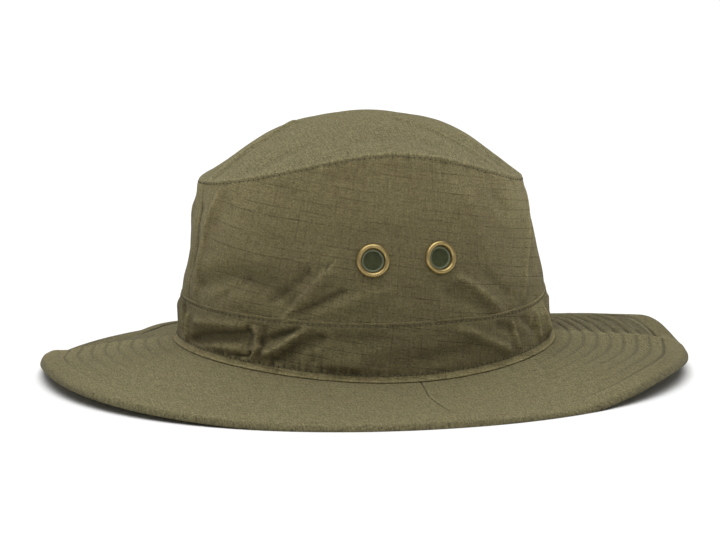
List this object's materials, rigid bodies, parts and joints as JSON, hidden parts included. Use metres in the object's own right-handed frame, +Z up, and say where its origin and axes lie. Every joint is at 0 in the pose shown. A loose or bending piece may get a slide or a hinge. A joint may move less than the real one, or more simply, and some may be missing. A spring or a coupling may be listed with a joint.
{
  "type": "boonie hat",
  "caption": "Wide-brimmed cloth boonie hat: oval domed crown, applied hat band, two-half stitched brim with stiffener, sweatband, and screened brass vent eyelets in both sides",
  "frame": {"origin": "Middle of the hat's footprint, on the flat surface that its brim rests on.", "axes": "+Z up; the front of the hat is towards -Y and its back towards +Y; +X is the wearer's left."},
  "size_m": [0.3165, 0.3505, 0.1394],
  "materials": {
    "olive_ripstop": "matte ripstop cloth",
    "olive_canvas": "matte plain cloth",
    "interlining": "matte, unseen inside the brim",
    "sweatband_twill": "matte twill",
    "seam_tape": "matte tape",
    "label": "woven, blank",
    "antique_brass": "aged satin",
    "green_mesh": "dark painted wire mesh"
  },
  "bodies": {
    "root": {"back_seam_tape": "seam_tape", "brim_lower_back": "olive_canvas", "brim_lower_front": "olive_canvas", "brim_stiffener_back": "interlining", "brim_stiffener_front": "interlining", "brim_upper_back": "olive_canvas", "brim_upper_front": "olive_canvas", "crown_seam_tape": "seam_tape", "crown_top": "olive_canvas", "eyelet_left_back": "antique_brass", "eyelet_left_front": "antique_brass", "eyelet_right_back": "antique_brass", "eyelet_right_front": "antique_brass", "front_seam_tape": "seam_tape", "hat_band": "olive_ripstop", "side_wall_left": "olive_ripstop", "side_wall_right": "olive_ripstop", "size_label": "label", "sweatband": "sweatband_twill", "vent_screen_left_back": "green_mesh", "vent_screen_left_front": "green_mesh", "vent_screen_right_back": "green_mesh", "vent_screen_right_front": "green_mesh", "washer_left_back": "antique_brass", "washer_left_front": "antique_brass", "washer_right_back": "antique_brass", "washer_right_front": "antique_brass"}
  },
  "joints": []
}
